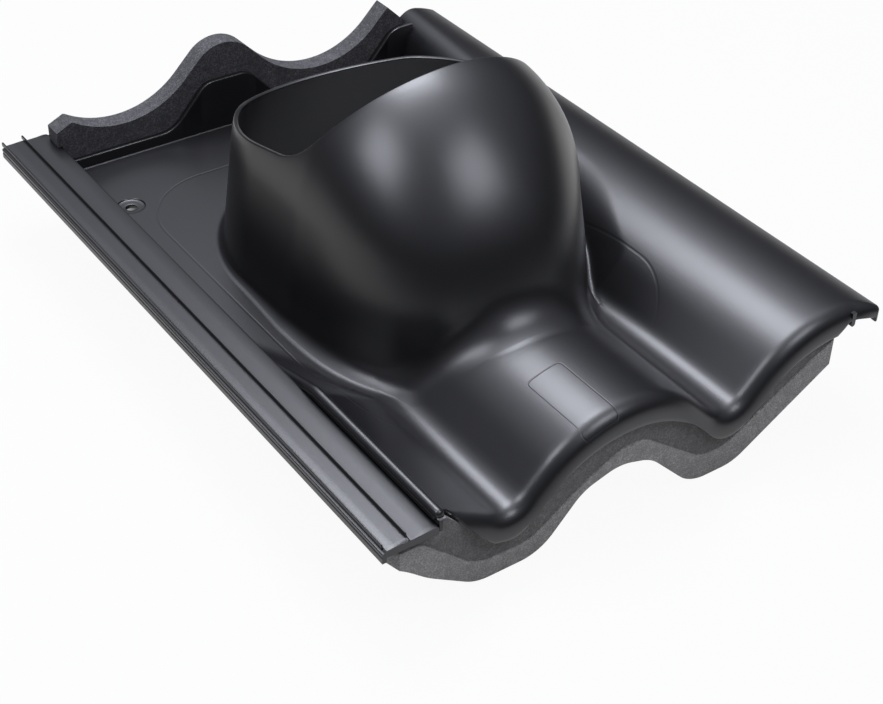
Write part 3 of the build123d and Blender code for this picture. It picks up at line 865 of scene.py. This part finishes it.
class VENTTILE_OT_seals(bpy.types.Operator):
    """Build the two foam seals"""

    bl_idname = "vent_tile.seals"
    bl_label = "Foam seals"

    def execute(self, context):
        colours = context.scene.vent_tile
        foam = cell_foam("rear_cut_foam", colours.rear_foam_dark, colours.rear_foam_light)
        build("rear_seal_foam", *rear_seal(), foam, ["rear_foam_seal"], "rear_foam", 50.0)
        foam = cell_foam("front_cut_foam", colours.front_foam_dark, colours.front_foam_light)
        points, faces, upper = front_seal()
        piece = build("front_seal_foam", points, faces, foam, ["front_foam_seal"], "front_foam", 50.0)
        piece.data.attributes.new("upper_layer", "FLOAT", "POINT").data.foreach_set("value", upper)
        return {"FINISHED"}


# Stage: the lights' tint, their distance, and the way to the wide one above
TINT = (0.88, 0.90, 1.0)
LAMP_REACH = 1.25
ABOVE = (0.06, 0.34, 0.94)


def pale_floor():
    """The floor's material: white where the camera and mirrored rays see it, and grey in the light.

    The white that mirrored rays see fades in front of the tile: a painted reflection, darkening the floor
    that the tile's front faces mirror. Under the tile, a rectangle of (axis, middle, half) places, there is
    no white at all: a painted shadow beneath the tile.
    """
    material, tree, output = new_material("pale_floor")
    path = add_node(tree, "ShaderNodeLightPath")
    place_at = add_node(tree, "ShaderNodeTexCoord").outputs["Object"]
    parts = add_node(tree, "ShaderNodeSeparateXYZ", {"Vector": place_at})
    # Painted reflection: mirrored rays see less white further ahead of the tile, so its front faces mirror a
    # darker floor.
    ahead = add_node(tree, "ShaderNodeMapRange", {"Value": parts.outputs["Y"], "From Min": -0.5,
                                                  "From Max": -0.15, "To Min": 0.05, "To Max": 0.9})
    seen = add_node(tree, "ShaderNodeMath", {0: path.outputs["Is Glossy Ray"], 1: ahead.outputs["Result"]},
                    operation="MULTIPLY")
    for ray in ("Is Camera Ray", "Is Transmission Ray"):
        seen = add_node(tree, "ShaderNodeMath", {0: seen.outputs["Value"], 1: path.outputs[ray]},
                        operation="MAXIMUM")
    # Painted shadow: inside the tile's rectangle the floor gets no white and shows grey beneath the tile.
    far = []
    for axis, middle, half in (("X", 0.02, 0.13), ("Y", 0.06, 0.165)):
        away = add_node(tree, "ShaderNodeMath", {0: parts.outputs[axis], 1: middle}, operation="SUBTRACT")
        away = add_node(tree, "ShaderNodeMath", {0: away.outputs["Value"]}, operation="ABSOLUTE")
        far.append(add_node(tree, "ShaderNodeMapRange", {"Value": away.outputs["Value"],
                                                         "From Min": half - 0.02, "From Max": half}))
    outside_painted_shadow = add_node(tree, "ShaderNodeMath", {0: far[0].outputs["Result"], 1: far[1].outputs["Result"]},
                          operation="MAXIMUM")
    seen = add_node(tree, "ShaderNodeMath", {0: seen.outputs["Value"], 1: outside_painted_shadow.outputs["Value"]},
                    operation="MULTIPLY")
    share = add_node(tree, "ShaderNodeMath", {0: seen.outputs["Value"], 1: 0.94}, operation="MULTIPLY")
    plain = add_node(tree, "ShaderNodeBsdfDiffuse", {"Color": (0.38, 0.38, 0.38, 1)})
    white = add_node(tree, "ShaderNodeEmission", {"Color": (1, 1, 1, 1), "Strength": 1.0})
    mix = add_node(tree, "ShaderNodeMixShader", {0: share.outputs["Value"], 1: plain.outputs["BSDF"],
                                                 2: white.outputs["Emission"]})
    tree.links.new(mix.outputs["Shader"], output.inputs["Surface"])
    return material


def studio_world(scene):
    """The world: dark at the horizon, brighter upwards, with a wide soft glow around the light above."""
    world = bpy.data.worlds.new("studio")
    world.use_nodes = True
    scene.world = world
    tree = world.node_tree
    background = tree.nodes["Background"]
    background.inputs["Color"].default_value = TINT + (1,)
    way = add_node(tree, "ShaderNodeTexCoord").outputs["Generated"]
    up = add_node(tree, "ShaderNodeSeparateXYZ", {"Vector": way}).outputs["Z"]
    above = add_node(tree, "ShaderNodeVectorMath", {0: way, 1: ABOVE}, operation="DOT_PRODUCT")
    low_sky = add_node(tree, "ShaderNodeMapRange", {"Value": up, "From Min": 0.1, "From Max": 0.85,
                                                    "To Min": 0.03, "To Max": 0.55},
                       interpolation_type="SMOOTHSTEP")
    glow = add_node(tree, "ShaderNodeMapRange", {"Value": above.outputs["Value"], "From Min": 0.76,
                                                 "From Max": 1.0, "To Min": 0.0, "To Max": 2.2},
                    interpolation_type="SMOOTHSTEP")
    sky = add_node(tree, "ShaderNodeMath", {0: low_sky.outputs["Result"], 1: glow.outputs["Result"]},
                   operation="ADD")
    tree.links.new(sky.outputs["Value"], background.inputs["Strength"])


def softbox(scene, name, way, size, power):
    """A square area light that stands the lamps' reach away and looks at the tile."""
    data = bpy.data.lights.new(name, "AREA")
    data.shape = "RECTANGLE"
    data.size = data.size_y = size
    data.energy = power
    data.color = TINT
    lamp = bpy.data.objects.new(name, data)
    scene.collection.objects.link(lamp)
    lamp.location = [c * LAMP_REACH for c in way]
    lamp.rotation_euler = (Vector((0, 0, 0.1)) - lamp.location).to_track_quat("-Z", "Y").to_euler()


class VENTTILE_OT_stage(bpy.types.Operator):
    """Build the floor, the lights and the camera"""

    bl_idname = "vent_tile.stage"
    bl_label = "Stage"

    def execute(self, context):
        scene = context.scene
        mesh = bpy.data.meshes.new("floor")
        size = 30.0
        corners = [(-size, -size, 0), (size, -size, 0), (size, size, 0), (-size, size, 0)]
        mesh.from_pydata(corners, [], [(0, 1, 2, 3)])
        floor = bpy.data.objects.new("floor", mesh)
        scene.collection.objects.link(floor)
        mesh.materials.append(pale_floor())

        studio_world(scene)
        softbox(scene, "top_softbox", ABOVE, 0.54, 12.0)
        softbox(scene, "left_softbox", (-0.60, 0.0, 0.80), 0.46, 5.8)
        softbox(scene, "front_softbox", (0.13, -0.56, 0.82), 0.44, 4.6)

        camera = bpy.data.cameras.new("camera")
        camera.lens, camera.sensor_width, camera.sensor_fit = 69.15, 36.0, "HORIZONTAL"
        camera.clip_start, camera.clip_end = 0.01, 200
        eye = bpy.data.objects.new("camera", camera)
        scene.collection.objects.link(eye)
        eye.matrix_world = Matrix(((0.82166, 0.32987, -0.46483, -0.488514),
                                   (-0.56955, 0.50703, -0.64694, -0.716517),
                                   (0.02228, 0.79631, 0.60448, 0.623399), (0, 0, 0, 1)))
        scene.camera = eye
        scene.view_settings.view_transform = "Standard"
        return {"FINISHED"}


class VENTTILE_PT_panel(bpy.types.Panel):
    """The tile's sizes and its build steps"""

    bl_label = "Vent Tile"
    bl_space_type = "VIEW_3D"
    bl_region_type = "UI"
    bl_category = "Vent Tile"

    def draw(self, context):
        settings = context.scene.vent_tile
        for name in settings.bl_rna.properties.keys():
            if name not in ("rna_type", "name"):
                self.layout.prop(settings, name)
        for step in STEPS:
            self.layout.operator(step.bl_idname)


STEPS = (VENTTILE_OT_moulding, VENTTILE_OT_seals, VENTTILE_OT_stage)
CLASSES = (VentTileSizes,) + STEPS + (VENTTILE_PT_panel,)


def register():
    for kind in CLASSES:
        bpy.utils.register_class(kind)
    bpy.types.Scene.vent_tile = bpy.props.PointerProperty(type=VentTileSizes)


def unregister():
    del bpy.types.Scene.vent_tile
    for kind in reversed(CLASSES):
        bpy.utils.unregister_class(kind)


def main():
    """Registers the classes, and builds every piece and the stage."""
    register()
    bpy.ops.vent_tile.moulding()
    bpy.ops.vent_tile.seals()
    bpy.ops.vent_tile.stage()


if __name__ == "__main__":
    main()
